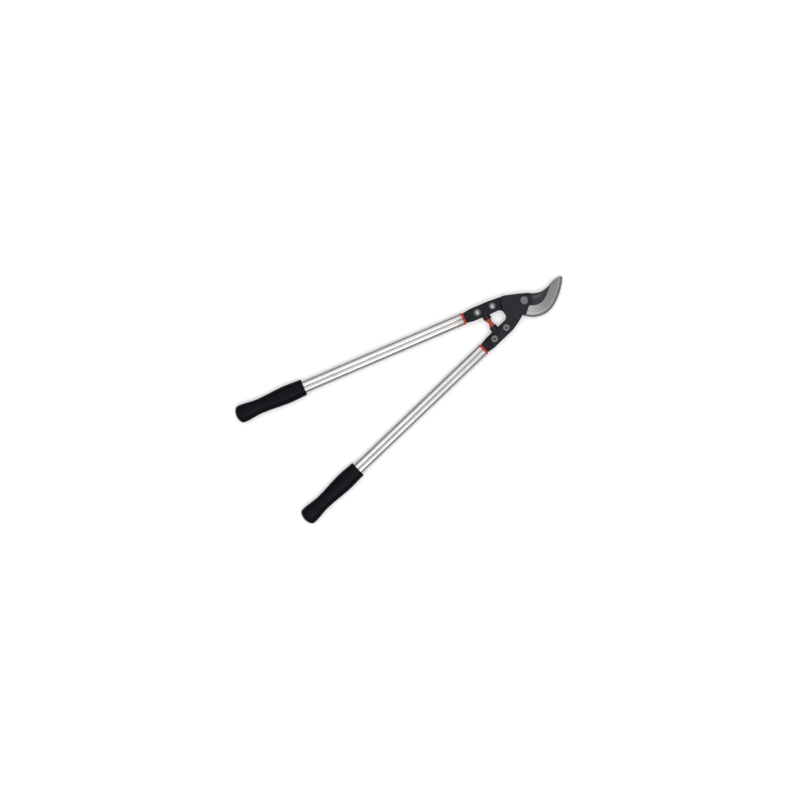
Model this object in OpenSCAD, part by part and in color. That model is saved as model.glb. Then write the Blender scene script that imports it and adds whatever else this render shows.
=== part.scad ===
/* [Layout] */
// Angle between each handle and the centre line of the closed tool
handle_splay = 10.2; // [9:0.1:11.5]
// Distance from the pivot to each handle's axis, measured square to it
handle_offset = 16.35; // [16:0.05:17]
// Height of the shear plane above the surface that the tool lies on
shear_z = 15; // [14.5:0.1:16]
// Gap between the blade and the counter blade
shear_gap = 0.2; // [0.1:0.05:0.3]

/* [Cutting edge] */
// Centre of the lower arc of the cutting edge, across the tool
edge_x = -5; // [-6:0.1:-4]
// Centre of the lower arc of the cutting edge, along the tool
edge_y = 27; // [26:0.1:28]
// Radius of the lower arc
edge_r = 51.5; // [50:0.5:53]
// Radius of the upper arc, which runs on to the tip
tip_edge_r = 140; // [135:1:145]
// Direction from the centre at which the lower arc passes into the upper one
edge_join = 27; // [24:0.5:30]
// Direction from the centre at which the grinding starts, at the heel
heel_angle = -49.5; // [-51:0.5:-47]
// Width of the ground bevel
bevel_w = 21.5; // [19:0.5:22]
// Thickness left at the cutting edge
edge_t = 0.5; // [0.3:0.1:0.8]

/* [Blade back] */
// Centre of the hollow in the blade's back, across the tool
hollow_x = -43.5; // [-44:0.1:-43]
// Centre of the hollow in the blade's back, along the tool
hollow_y = 51; // [50:0.5:52]
// Radius of the hollow
hollow_r = 47.8; // [47:0.1:48.5]
// Direction from its centre at which the hollow passes into the tip's curve
hollow_join = 20; // [18:1:22]
// Radius of the back behind the tip
tip_back_r = 60; // [55:1:65]
// Thickness of the blade in front of the hub
blade_t = 5.7; // [5:0.1:6.5]
// Depth of the forged groove along the back
groove_depth = 0.7; // [0.4:0.1:1]

/* [Counter blade] */
// How far the counter blade stands proud of the cutting edge
lip_w = 4.2; // [2.5:0.1:5]
// Width of the counter blade beside the lower arc
hook_w = 11.7; // [10.5:0.1:12]
// Radius of its inner edge towards the tip, where it tapers
hook_tip_r = 200; // [190:5:215]
// Width of the relief ground behind its inner edge
hook_relief = 3.2; // [2:0.2:4]

/* [Hub and tangs] */
// Thickness of the forged hubs and tangs
hub_t = 6.9; // [6.5:0.1:7.1]
// Radius of the hubs about the pivot
hub_r = 52.5; // [51:0.5:53]
// Raised face round the pivot bolt
boss_r = 18.5; // [17:0.5:19]
// Half width of the tangs
tang_half_w = 13.9; // [13.5:0.1:14.2]
// Distance from the pivot to a tang's end, along the handle
tang_end = 121; // [120:0.5:124]
// Radius of the window's corners between hub and tang
window_r = 12; // [10:0.5:13]

/* [Pivot] */
// Shank of the pivot bolt
pivot_d = 10; // [9:0.5:11]
// Radial running clearance of the pivot bolt in its bush
pivot_clearance = 0.04; // [0.02:0.01:0.08]
// Head of the pivot bolt
pivot_head_d = 18.8; // [17:0.1:20]
// Height of that head
pivot_head_h = 5; // [4:0.5:6]
// Outer diameter of the bronze bush in the counter blade
bush_d = 14; // [13:0.5:15]
// Outer diameter of the washer under the nut
washer_d = 21; // [19:0.5:23]
// Washer thickness
washer_t = 1.5; // [1:0.1:1.6]
// Width of the pivot nut across its flats
nut_flats = 17; // [16:0.5:19]

/* [Sockets] */
// Half thickness of a socket
socket_half_t = 9; // [8.5:0.1:9.4]
// Half width of a socket along the bolts
socket_half_w = 14.3; // [14:0.1:14.6]
// Half width of a socket at the collar
neck_half_w = 12; // [11.5:0.1:12.5]
// Distance from the pivot to where a socket starts to taper to its neck
taper_start = 121; // [114:1:125]
// Gap between a socket's round end and the hub that turns past it
socket_gap = 1; // [0.6:0.1:1.2]
// Distance from the pivot to a socket's shoulder, along the handle
socket_end = 138; // [136:0.5:139]
// How far the spigot reaches into the tube
spigot_l = 45; // [35:1:55]

/* [Tang bolts] */
// Distance from the pivot to the first bolt, along the handle
bolt_start = 71; // [70:0.5:72]
// Spacing of the two bolts
bolt_pitch = 36.5; // [36:0.5:37]
// Shank of the bolts
bolt_d = 8; // [7:0.5:8.5]
// Diameter of the bolt heads and of the cap nuts
bolt_head_d = 16; // [15:0.5:16.5]
// Height of the bolt heads
bolt_head_h = 4.4; // [4:0.1:5]
// Height of the cap nuts
cap_h = 5; // [4.5:0.1:5.5]

/* [Handle tubes] */
// Radius of each of the two barrels that the tube's section joins
barrel_r = 9.5; // [9.2:0.1:10]
// Distance from the handle's axis to each barrel's centre
barrel_x = 5.25; // [5:0.05:5.5]
// Wall of the tube
tube_wall = 2; // [1.6:0.1:2.2]
// Distance from the pivot to the tube's start, along the handle
tube_start = 144; // [143:0.5:145]
// Distance from the pivot to the tube's end, inside the grip
tube_end = 684; // [670:1:686]

/* [Grips] */
// Distance from the pivot to the grip's lip, along the handle
grip_start = 531.5; // [528:0.5:538]
// Distance from the pivot to the grip's end, along the handle
grip_end = 697; // [695:1:700]
// Half width at the lip
lip_half_w = 19.2; // [18:0.1:19.8]
// Half width at the belly
belly_half_w = 20.7; // [20:0.1:21]
// Half width at the waist
waist_half_w = 17.2; // [16.4:0.1:17.6]
// Half width at the heel
heel_half_w = 20.5; // [19.8:0.1:21]

/* [Buffers] */
// Distance from the pivot to the buffers' axis, along the tool
buffer_y = 90.7; // [90:0.1:91]
// Distance from the centre line to a cup's seat in the socket
cup_seat = 21.2; // [21:0.1:21.5]
// Diameter of a cup
cup_d = 17.6; // [17:0.1:17.8]
// Distance from the centre line to a cup's rim
cup_rim = 9; // [8:0.5:10]
// Gap between the two buffers in the closed tool
buffer_gap = 0.3; // [0.2:0.1:0.5]

/* [Hidden] */
$fn = 72;
arc_step = 3;
fillet_step = 12;
eps = 0.01;
fit = 0.05;
layer = shear_gap / 2;
edge_c = [edge_x, edge_y];
edge_dir = [cos(edge_join), sin(edge_join)];
tip_edge_c = edge_c - (tip_edge_r - edge_r) * edge_dir;
hollow_c = [hollow_x, hollow_y];
tip_back_c = hollow_c + (hollow_r + tip_back_r) * [cos(hollow_join), sin(hollow_join)];
groove_round = 14;
groove_c = [-57.6, 42.8];
groove_r = 67;
groove_from = -30;
groove_to = 13;
hook_tip = 53.3;
hook_outer_r = edge_r + lip_w;
hook_inner_r = hook_outer_r - hook_w;
hook_tip_c = edge_c - (hook_tip_r - hook_inner_r) * edge_dir;
hook_root = -52;
hook_tip_inner = 44.7;
throat_r = 5;
throat_dir = -44;
relief_from = throat_dir + 4;
throat = edge_c + (hook_inner_r - throat_r) * [cos(throat_dir), sin(throat_dir)];
pivot_neck_d = 12;
pivot_neck_flats = 10;
nut_top = -layer - hub_t - shear_gap / 2 - washer_t;
socket_hole_d = bolt_d + 0.3;
rebate_in = 9.3;
rebate_start = 79;
boss_cut_r = 9.5;
sleeve_r = barrel_r - tube_wall - fit;
spigot_r = sleeve_r - 1.2;
cup_base_t = 3;
cup_wall = 1.6;
buffer_screw_d = 5;
buffer_tip_r = 3.6;

steel_black = [0.15, 0.16, 0.19];
steel_ground = [0.76, 0.75, 0.73];
zinc = [0.68, 0.69, 0.70];
alloy = [0.80, 0.80, 0.81];
orange = [0.92, 0.33, 0.14];
black_plastic = [0.10, 0.11, 0.13];
bronze = [0.72, 0.55, 0.30];

// ---- Placing -------------------------------------------------------------------------------

// The right handle's pieces are drawn about z = 0 with their handle along -Y. The left handle's are
// the same pieces turned half a turn about the tool's centre line, so its tang lies behind.
module raised() { translate([0, 0, shear_z]) children(); }
module on_side(side) { raised() rotate([0, side == "left" ? 180 : 0, 0]) children(); }
module on_handle() { rotate([0, 0, handle_splay]) translate([handle_offset, 0, 0]) children(); }
module along_handle(s) { on_handle() translate([0, -s, 0]) rotate([90, 0, 0]) children(); }
module at_bolts() {
    for (i = [0, 1]) on_handle() translate([0, -bolt_start - i * bolt_pitch, 0]) children();
}
module on_buffer_axis(x) { translate([x, -buffer_y, 0]) rotate([0, -90, 0]) children(); }

// ---- Outlines ------------------------------------------------------------------------------

function arc(c, r, a0, a1, step = arc_step) =
    let (n = max(1, ceil(abs(a1 - a0) / step)))
    [for (i = [0 : n]) let (a = a0 + (a1 - a0) * i / n) c + r * [cos(a), sin(a)]];

function unit(v) = v / norm(v);

// A corner [x, y, r] between its neighbours, as the points of its rounding arc.
function rounded_corner(p, q, r, n) =
    r == 0 ? [q] :
    let (
        to_p = unit(p - q), to_n = unit(n - q),
        half = acos(to_p * to_n) / 2,
        c = q + unit(to_p + to_n) * r / sin(half),
        start = q + to_p * r / tan(half) - c, stop = q + to_n * r / tan(half) - c,
        a0 = atan2(start[1], start[0]), turn = atan2(stop[1], stop[0]) - a0,
        sweep = turn > 180 ? turn - 360 : turn < -180 ? turn + 360 : turn
    )
    arc(c, r, a0, a0 + sweep, fillet_step);

function xy(p) = [p[0], p[1]];
function outline(corners) =
    let (n = len(corners))
    [for (i = [0 : n - 1])
        each rounded_corner(
            xy(corners[(i + n - 1) % n]), xy(corners[i]), corners[i][2], xy(corners[(i + 1) % n])
        )];
function sharp(points) = [for (p = points) [p[0], p[1], 0]];

// A point u outboard of the right handle's axis and s along it from the pivot.
function on_right(u, s, r = 0) =
    let (x = handle_offset + u, a = handle_splay)
    [x * cos(a) + s * sin(a), x * sin(a) - s * cos(a), r];

// The window's corner: an arc that touches the hub's round outside and the tang's inner side.
window_x = handle_offset - tang_half_w - window_r;
window_s = sqrt(pow(hub_r + window_r, 2) - pow(window_x, 2));
window_c = xy(on_right(window_x - handle_offset, window_s));
window_dir = atan2(window_c[1], window_c[0]);

// From the lug's outer side round the tang's end and back up to the hub's round, whose other end
// is given as a direction from the pivot.
function tang_and_round(hub_stop) = concat(
    [
        on_right(tang_half_w, tang_end - 10, 12),
        on_right(tang_half_w - 1.6, tang_end, 3),
        on_right(-rebate_in, tang_end, 2),
        on_right(-rebate_in, rebate_start, 2),
        on_right(-tang_half_w, rebate_start - 2, 2)
    ],
    sharp(arc(window_c, window_r, handle_splay, window_dir + 180)),
    sharp(arc([0, 0], hub_r, window_dir - 1, hub_stop))
);

// ---- Blade and counter blade ---------------------------------------------------------------

module blade_hub_2d() {
    difference() {
        polygon(outline(concat(
            [[36, -4, 0], [27.9, -12.9, 0.8], [24.9, -19.8, 2.5], [33.8, -37.5, 50],
             on_right(tang_half_w + 0.3, 62, 40)],
            tang_and_round(-133),
            [[-36.6, -37.8, 1.5], [-33.2, -28.7, 30], [-19.4, -0.4, 60], [-8, 20.2, 0]],
            sharp(arc([0, 0], boss_r, 100, 15, 5))
        )));
        translate(hollow_c) circle(hollow_r);
        tang_cut_outs();
    }
}

// Notch round the buffer's boss, and the two bolt holes.
module tang_cut_outs() {
    translate([on_right(-tang_half_w, buffer_y + 2)[0], -buffer_y]) circle(boss_cut_r);
    at_bolts() circle(d = socket_hole_d);
}

module blade_front_2d() {
    heel = edge_c + (edge_r - 1) * [cos(heel_angle + 1), sin(heel_angle + 1)];
    polygon(concat(
        [[20, -10], heel, [45, -26], [60, -4], [60, 90], [20, 110]],
        arc(tip_back_c, tip_back_r, 160, 180 + hollow_join),
        arc(hollow_c, hollow_r, hollow_join, -42),
        [[0, 5]]
    ));
}

// Everything outside one arc of the cutting edge, with the ground bevel's cone inside it.
module grinding(c, r, a0, a1) {
    translate(c) rotate([0, 0, a0]) rotate_extrude(angle = a1 - a0)
        polygon([
            [r - bevel_w, layer + blade_t], [r, layer + edge_t], [r, -5], [r + 40, -5],
            [r + 40, 20], [r - bevel_w, 20]
        ]);
}

// Part of a ring with a round section, sunk into the face between the boss and the tip.
module forged_groove() {
    translate([groove_c[0], groove_c[1], layer + blade_t + groove_round - groove_depth])
        rotate([0, 0, groove_from]) rotate_extrude(angle = groove_to - groove_from)
            translate([groove_r, 0]) circle(groove_round);
}

module pivot_neck(d, flats, h) {
    intersection() {
        cylinder(d = d, h = h);
        translate([-flats / 2, -d, 0]) cube([flats, 2 * d, h]);
    }
}

module cutting_blade() {
    color(steel_ground) raised() difference() {
        union() {
            translate([0, 0, layer]) linear_extrude(hub_t) blade_hub_2d();
            difference() {
                translate([0, 0, layer]) linear_extrude(blade_t) blade_front_2d();
                forged_groove();
            }
        }
        grinding(edge_c, edge_r, heel_angle, edge_join);
        grinding(tip_edge_c, tip_edge_r, edge_join, edge_join + 35);
        translate([0, 0, -1]) pivot_neck(pivot_neck_d + 2 * fit, pivot_neck_flats + 2 * fit, 20);
    }
}

// The left tang is the right one turned over, so its outline is mirrored.
function turned_over(corners) = [for (c = corners) [-c[0], c[1], c[2]]];

module counter_blade_2d() {
    difference() {
        polygon(outline(concat(
            sharp(arc(edge_c, hook_outer_r, hook_root, edge_join)),
            sharp(arc(tip_edge_c, tip_edge_r + lip_w, edge_join, hook_tip, 1.5)),
            sharp(arc(hook_tip_c, hook_tip_r, hook_tip_inner, edge_join, 1.2)),
            sharp(arc(edge_c, hook_inner_r, edge_join, throat_dir)),
            sharp(arc(throat, throat_r, throat_dir - fillet_step, throat_dir - 100, fillet_step)),
            [[5.5, 17, 6]],
            turned_over(concat(
                [[9.8, 16.8, 6], [19.4, -0.4, 60], [33.2, -28.7, 30],
                 on_right(tang_half_w - 0.6, 56, 20), on_right(tang_half_w, 75, 60)],
                tang_and_round(-130.5),
                [[-24.9, -20, 1.5]]
            ))
        )));
        mirror([1, 0]) tang_cut_outs();
        circle(d = bush_d);
    }
}

// The relief behind one arc of the inner edge: a cone that opens towards the back.
module relief(c, r, a0, a1) {
    back = -layer - hub_t;
    translate(c) rotate([0, 0, a0]) rotate_extrude(angle = a1 - a0)
        polygon([
            [r - 5, back + hook_relief + 5], [r + hook_relief + 1, back - 1], [r - 5, back - 1]
        ]);
}

module counter_blade() {
    color(steel_black) raised() difference() {
        translate([0, 0, -layer - hub_t]) linear_extrude(hub_t) counter_blade_2d();
        relief(edge_c, hook_inner_r, relief_from, edge_join);
        relief(hook_tip_c, hook_tip_r, edge_join, hook_tip_inner + 5);
    }
}

// ---- Pivot ---------------------------------------------------------------------------------

module pivot_bolt() {
    recess_d = 8;
    head_z = layer + hub_t;
    color(zinc) raised() {
        translate([0, 0, head_z]) rotate_extrude() polygon([
            [0, 0], [pivot_head_d / 2, 0], [pivot_head_d / 2, pivot_head_h - 1.5],
            [pivot_head_d / 2 - 1.3, pivot_head_h], [recess_d / 2, pivot_head_h],
            [recess_d / 2 - 0.6, pivot_head_h - 0.8], [0, pivot_head_h - 0.8]
        ]);
        translate([0, 0, layer]) pivot_neck(pivot_neck_d, pivot_neck_flats, hub_t);
        translate([0, 0, 1 - shear_z]) cylinder(d = pivot_d, h = shear_z - 1 + layer);
    }
}

module pivot_bush() {
    color(bronze) raised() translate([0, 0, -layer - hub_t]) difference() {
        cylinder(d = bush_d, h = hub_t);
        translate([0, 0, -1]) cylinder(d = pivot_d + 2 * pivot_clearance, h = hub_t + 2);
    }
}

module pivot_washer() {
    color(zinc) raised() translate([0, 0, nut_top]) difference() {
        cylinder(d = washer_d, h = washer_t);
        translate([0, 0, -1]) cylinder(d = pivot_d + 0.4, h = washer_t + 2);
    }
}

// A hexagon nut with its outer corners turned off at 30 degrees.
module pivot_nut() {
    h = shear_z + nut_top;
    corner_r = nut_flats / sqrt(3);
    color(zinc) difference() {
        intersection() {
            cylinder(r = corner_r, h = h, $fn = 6);
            rotate_extrude() polygon([
                [0, 0], [nut_flats / 2, 0], [corner_r + 1, (corner_r + 1 - nut_flats / 2) / 2],
                [corner_r + 1, h], [0, h]
            ]);
        }
        translate([0, 0, -1]) cylinder(d = pivot_d + 2 * fit, h = h + 2);
    }
}

// ---- Sockets -------------------------------------------------------------------------------

module socket_2d() {
    difference() {
        on_handle() polygon(outline([
            [10.4, -44, 0], [socket_half_w, -72, 60], [socket_half_w, -taper_start, 20],
            [neck_half_w, -socket_end, 0], [-neck_half_w, -socket_end, 0],
            [-socket_half_w, -taper_start, 20], [-socket_half_w, -44, 0]
        ]));
        circle(hub_r + socket_gap);
    }
}

// Where the tang lies in front of the socket's lap.
module rebate_2d() {
    difference() {
        on_handle() polygon([
            [-40, -20], [-40, -rebate_start - 0.3], [-rebate_in - 0.2, -rebate_start - 0.3],
            [-rebate_in - 0.2, -tang_end - 0.3], [40, -tang_end - 0.3], [40, -20]
        ]);
        translate([on_right(-tang_half_w, buffer_y + 2)[0], -buffer_y]) circle(boss_cut_r - 0.2);
    }
}

// The flat oval that the tube, its sleeve and the spigot share: two barrels side by side.
module barrels_2d(r) {
    for (x = [-barrel_x, barrel_x]) translate([x, 0]) circle(r);
}

module socket(side) {
    color(steel_black) on_side(side) difference() {
        union() {
            translate([0, 0, -socket_half_t]) linear_extrude(socket_half_t + layer) socket_2d();
            translate([0, 0, layer]) linear_extrude(socket_half_t - layer) difference() {
                socket_2d();
                rebate_2d();
            }
            along_handle(socket_end) linear_extrude(spigot_l) barrels_2d(spigot_r);
        }
        at_bolts() translate([0, 0, -20]) cylinder(d = socket_hole_d, h = 40);
        on_buffer_axis(cup_seat) cylinder(d = cup_d + 0.4, h = 20);
        on_buffer_axis(cup_seat + 7.5) cylinder(d = buffer_screw_d, h = 20);
    }
}

module right_socket() { socket("right"); }
module left_socket() { socket("left"); }

// ---- Tang bolts and cap nuts ---------------------------------------------------------------

module bolts(side) {
    socket_key = 6;
    edge_round = 1.6;
    shank_l = hub_t + socket_half_t + 3;
    color(zinc) on_side(side) at_bolts() translate([0, 0, layer + hub_t]) difference() {
        union() {
            rotate_extrude() polygon(concat(
                [[0, 0], [bolt_head_d / 2, 0]],
                arc([bolt_head_d / 2 - edge_round, bolt_head_h - edge_round], edge_round, 0, 90, 15),
                [[0, bolt_head_h]]
            ));
            translate([0, 0, -shank_l]) cylinder(d = bolt_d, h = shank_l + eps);
        }
        translate([0, 0, bolt_head_h - 2.6]) cylinder(r = socket_key / sqrt(3), h = 5, $fn = 6);
    }
}

module right_bolts() { bolts("right"); }
module left_bolts() { bolts("left"); }

// Round nuts with a shallow dome, closed over the bolt's end.
module cap_nuts(side) {
    skirt = 1.4;
    rise = cap_h - skirt;
    dome_r = (pow(bolt_head_d / 2, 2) + pow(rise, 2)) / (2 * rise);
    color(zinc) on_side(side) at_bolts() translate([0, 0, -socket_half_t]) rotate([180, 0, 0])
        difference() {
            intersection() {
                cylinder(d = bolt_head_d, h = cap_h);
                translate([0, 0, cap_h - dome_r]) sphere(dome_r);
            }
            translate([0, 0, -1]) cylinder(d = bolt_d + 2 * fit, h = 4.3);
        }
}

module right_cap_nuts() { cap_nuts("right"); }
module left_cap_nuts() { cap_nuts("left"); }

// ---- Collars, tubes and grips --------------------------------------------------------------

// A flange that widens from the socket to the tube, and a sleeve between spigot and tube.
module collar(side) {
    flange = tube_start - socket_end;
    narrow = (neck_half_w + 0.2) / (barrel_x + barrel_r);
    color(orange) on_side(side) along_handle(socket_end) difference() {
        union() {
            hull() {
                linear_extrude(0.5) scale([narrow, narrow]) barrels_2d(barrel_r, $fn = 32);
                translate([0, 0, flange - 1]) linear_extrude(1) barrels_2d(barrel_r, $fn = 32);
            }
            translate([0, 0, flange - 0.5]) linear_extrude(spigot_l - flange) barrels_2d(sleeve_r);
        }
        translate([0, 0, -1]) linear_extrude(spigot_l + 2) barrels_2d(spigot_r + fit);
    }
}

module right_collar() { collar("right"); }
module left_collar() { collar("left"); }

module tube(side) {
    color(alloy) on_side(side) along_handle(tube_start) difference() {
        linear_extrude(tube_end - tube_start) barrels_2d(barrel_r);
        translate([0, 0, -1]) linear_extrude(tube_end - tube_start + 2) barrels_2d(barrel_r - tube_wall);
    }
}

module right_tube() { tube("right"); }
module left_tube() { tube("left"); }

// Stations along a grip: distance from the pivot, half width, half thickness.
grip_stations = [
    [grip_start, lip_half_w, 13.4], [570, belly_half_w, shear_z],
    [641, waist_half_w, 12.9], [682, heel_half_w, shear_z], [grip_end + 8, 18, 14]
];
grip_rings = 26;
grip_sides = 32;
grip_round = 11;
lip_round = 2;

function ease(t) = (1 - cos(180 * t)) / 2;
function station(s, i = 0) =
    s <= grip_stations[i + 1][0] || i == len(grip_stations) - 2 ? i : station(s, i + 1);
function grip_half(s, k) =
    let (i = station(s), a = grip_stations[i], b = grip_stations[i + 1])
    a[k] + (b[k] - a[k]) * ease((s - a[0]) / (b[0] - a[0]));
// How much the section shrinks where the lip and the end are rounded over.
function end_shrink(s) =
    let (lip = max(0, 1 - (s - grip_start) / lip_round), tail = max(0, 1 - (grip_end - s) / grip_round))
    (1 - 0.05 * lip * lip) * sqrt(max(0.05, 1 - pow(tail, 2.2)));
// Rings crowd towards both ends, where the outline turns fastest.
function ring_s(i) =
    let (t = i / grip_rings)
    grip_start + (grip_end - grip_start) * (0.35 * ease(t) + 0.65 * t);
function oval(a, w, h, power = 0.9) = [
    w * sign(cos(a)) * pow(abs(cos(a)), power), h * sign(sin(a)) * pow(abs(sin(a)), power)
];

module grip_body() {
    n = grip_sides;
    points = [
        for (i = [0 : grip_rings]) let (s = ring_s(i), k = end_shrink(s))
            for (j = [0 : n - 1]) let (p = oval(360 * j / n, k * grip_half(s, 1), k * grip_half(s, 2)))
                [p[0], -s, p[1]]
    ];
    walls = [
        for (i = [0 : grip_rings - 1]) for (j = [0 : n - 1])
            [i * n + j, i * n + (j + 1) % n, (i + 1) * n + (j + 1) % n, (i + 1) * n + j]
    ];
    first = [for (j = [n - 1 : -1 : 0]) j];
    last = [for (j = [0 : n - 1]) grip_rings * n + j];
    polyhedron(points, concat(walls, [first, last]), convexity = 4);
}

module grip(side) {
    color(black_plastic) on_side(side) difference() {
        on_handle() grip_body();
        along_handle(grip_start - 1) linear_extrude(tube_end - grip_start + 1.1)
            barrels_2d(barrel_r + fit);
    }
}

module right_grip() { grip("right"); }
module left_grip() { grip("left"); }

// ---- Buffers -------------------------------------------------------------------------------

module buffer_cup(side) {
    depth = cup_seat - cup_rim;
    r = cup_d / 2;
    color(black_plastic) on_side(side) on_buffer_axis(cup_seat) rotate_extrude() polygon([
        [buffer_screw_d / 2 + 0.2, 0], [r - 1, 0], [r, 1], [r, depth - 1.5], [r - 0.8, depth],
        [r - cup_wall, depth], [r - cup_wall, cup_base_t], [buffer_screw_d / 2 + 0.2, cup_base_t]
    ]);
}

module right_buffer_cup() { buffer_cup("right"); }
module left_buffer_cup() { buffer_cup("left"); }

// Rubber plug in the cup, with a blunt nose and a hollow over the screw's head.
module buffer(side) {
    depth = cup_seat - cup_rim;
    r = cup_d / 2 - cup_wall;
    nose = cup_seat - buffer_gap / 2;
    color(orange) on_side(side) on_buffer_axis(cup_seat) rotate_extrude() polygon(concat(
        [[0, cup_base_t + 3.2], [5, cup_base_t + 3.2], [5, cup_base_t], [r, cup_base_t], [r, depth - 0.4]],
        [[r - 0.4, depth + 1.6], [buffer_tip_r + 1.6, nose - 2.6]],
        arc([buffer_tip_r - 1, nose - 2.4], 2.4, 20, 90, 14),
        [[0, nose]]
    ));
}

module right_buffer() { buffer("right"); }
module left_buffer() { buffer("left"); }

// Pan-head screw from the cup's floor into the socket.
module buffer_screw(side) {
    color(zinc) on_side(side) on_buffer_axis(cup_seat) difference() {
        union() {
            translate([0, 0, cup_base_t]) cylinder(d = 9, h = 3);
            translate([0, 0, -7]) cylinder(d = buffer_screw_d - 2 * fit, h = 7 + cup_base_t + eps);
        }
        translate([0, 0, cup_base_t + 1.2]) cylinder(r = 3 / sqrt(3), h = 5, $fn = 6);
    }
}

module right_buffer_screw() { buffer_screw("right"); }
module left_buffer_screw() { buffer_screw("left"); }

// ---- The assembly --------------------------------------------------------------------------

cutting_blade();
counter_blade();
pivot_bolt();
pivot_bush();
pivot_washer();
pivot_nut();
right_socket();
right_bolts();
right_cap_nuts();
right_collar();
right_tube();
right_grip();
right_buffer_cup();
right_buffer();
right_buffer_screw();
left_socket();
left_bolts();
left_cap_nuts();
left_collar();
left_tube();
left_grip();
left_buffer_cup();
left_buffer();
left_buffer_screw();
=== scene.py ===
"""Bypass loppers: the fine meshes, finishes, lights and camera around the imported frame.

Lengths are millimetres until mesh_piece() turns them into metres.
"""

import math

import bmesh
import bpy
import numpy as np
from mathutils import Matrix, Vector
from mathutils.geometry import delaunay_2d_cdt


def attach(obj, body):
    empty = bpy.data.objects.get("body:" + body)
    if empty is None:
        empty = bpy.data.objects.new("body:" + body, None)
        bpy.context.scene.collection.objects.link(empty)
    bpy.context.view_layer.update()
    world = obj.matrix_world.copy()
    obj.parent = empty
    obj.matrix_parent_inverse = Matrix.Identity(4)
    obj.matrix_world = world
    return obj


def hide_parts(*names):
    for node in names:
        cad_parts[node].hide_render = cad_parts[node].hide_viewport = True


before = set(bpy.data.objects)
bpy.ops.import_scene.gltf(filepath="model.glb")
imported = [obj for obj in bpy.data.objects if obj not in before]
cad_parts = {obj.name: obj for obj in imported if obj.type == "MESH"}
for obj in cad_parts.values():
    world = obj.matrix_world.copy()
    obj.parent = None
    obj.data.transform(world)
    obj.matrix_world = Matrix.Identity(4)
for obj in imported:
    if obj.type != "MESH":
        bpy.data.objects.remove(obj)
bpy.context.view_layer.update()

# ---- Sizes, as in the part's source --------------------------------------------------------

MM = 0.001
SPLAY, HANDLE_OFFSET, SHEAR_Z, LAYER = 10.2, 16.35, 15.0, 0.1
EDGE_C, EDGE_R, TIP_EDGE_R, EDGE_JOIN, HEEL = np.array([-5.0, 27.0]), 51.5, 140.0, 27.0, -49.5
BEVEL_W, EDGE_T, BLADE_T, HUB_T = 21.5, 0.5, 5.7, 6.9
HOLLOW_C, HOLLOW_R, HOLLOW_JOIN, TIP_BACK_R = np.array([-43.5, 51.0]), 47.8, 20.0, 60.0
GROOVE_C, GROOVE_R, GROOVE_ROUND, GROOVE_DEPTH = np.array([-57.6, 42.8]), 67.0, 14.0, 0.7
LIP_W, HOOK_W, HOOK_TIP_R, HOOK_RELIEF = 4.2, 11.7, 200.0, 3.2
HOOK_TIP, HOOK_TIP_INNER, HOOK_ROOT = 53.3, 44.7, -52.0
THROAT_R, THROAT_DIR = 5.0, -44.0
HUB_R, BOSS_R, TANG_HALF_W, TANG_END, WINDOW_R = 52.5, 18.5, 13.9, 121.0, 12.0
REBATE_IN, REBATE_START, BOSS_CUT_R = 9.3, 79.0, 9.5
PIVOT_D, PIVOT_CLEARANCE, PIVOT_HEAD_D, PIVOT_HEAD_H, BUSH_D = 10.0, 0.04, 18.8, 5.0, 14.0
WASHER_D, WASHER_T, NUT_FLATS = 21.0, 1.5, 17.0
SOCKET_HALF_T, SOCKET_HALF_W, NECK_HALF_W, TAPER_START = 9.0, 14.3, 12.0, 121.0
SOCKET_GAP, SOCKET_END, SPIGOT_L = 1.0, 138.0, 45.0
BOLT_START, BOLT_PITCH, BOLT_D, BOLT_HEAD_D, BOLT_HEAD_H, CAP_H = 71.0, 36.5, 8.0, 16.0, 4.4, 5.0
BARREL_R, BARREL_X, TUBE_WALL, TUBE_START, TUBE_END = 9.5, 5.25, 2.0, 144.0, 684.0
GRIP_START, GRIP_END = 531.5, 697.0
BUFFER_Y, CUP_SEAT, CUP_D, CUP_RIM, BUFFER_GAP = 90.7, 21.2, 17.6, 9.0, 0.3
FIT = 0.05
SLEEVE_R = BARREL_R - TUBE_WALL - FIT
SPIGOT_R = SLEEVE_R - 1.2
NUT_TOP = -LAYER - HUB_T - 0.1 - WASHER_T

# ---- Placing -------------------------------------------------------------------------------


def move(x, y, z):
    return Matrix.Translation((x, y, z))


def turn(degrees, axis):
    return Matrix.Rotation(math.radians(degrees), 4, axis)


RAISED = move(0, 0, SHEAR_Z)
SIDES = {"right": RAISED, "left": RAISED @ turn(180, "Y")}
BODY = {"right": "blade_half", "left": "counter_half"}
ON_HANDLE = turn(SPLAY, "Z") @ move(HANDLE_OFFSET, 0, 0)
ON_BUFFER = move(CUP_SEAT, -BUFFER_Y, 0) @ turn(-90, "Y")


def along_handle(s):
    return ON_HANDLE @ move(0, -s, 0) @ turn(90, "X")


def at_bolt(i):
    return ON_HANDLE @ move(0, -BOLT_START - i * BOLT_PITCH, 0)


# ---- Outlines ------------------------------------------------------------------------------


def unit(v):
    return v / np.linalg.norm(v)


def heading(degrees):
    a = math.radians(degrees)
    return np.array([math.cos(a), math.sin(a)])


def bearing(v):
    return math.degrees(math.atan2(v[1], v[0]))


def arc(c, r, a0, a1, step=1.5, n=None):
    """Points on an arc, as corners (x, y, 0)."""
    n = n or max(1, math.ceil(abs(a1 - a0) / step))
    a = np.radians(np.linspace(a0, a1, n + 1))
    return np.column_stack([c[0] + r * np.cos(a), c[1] + r * np.sin(a), 0 * a])


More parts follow.
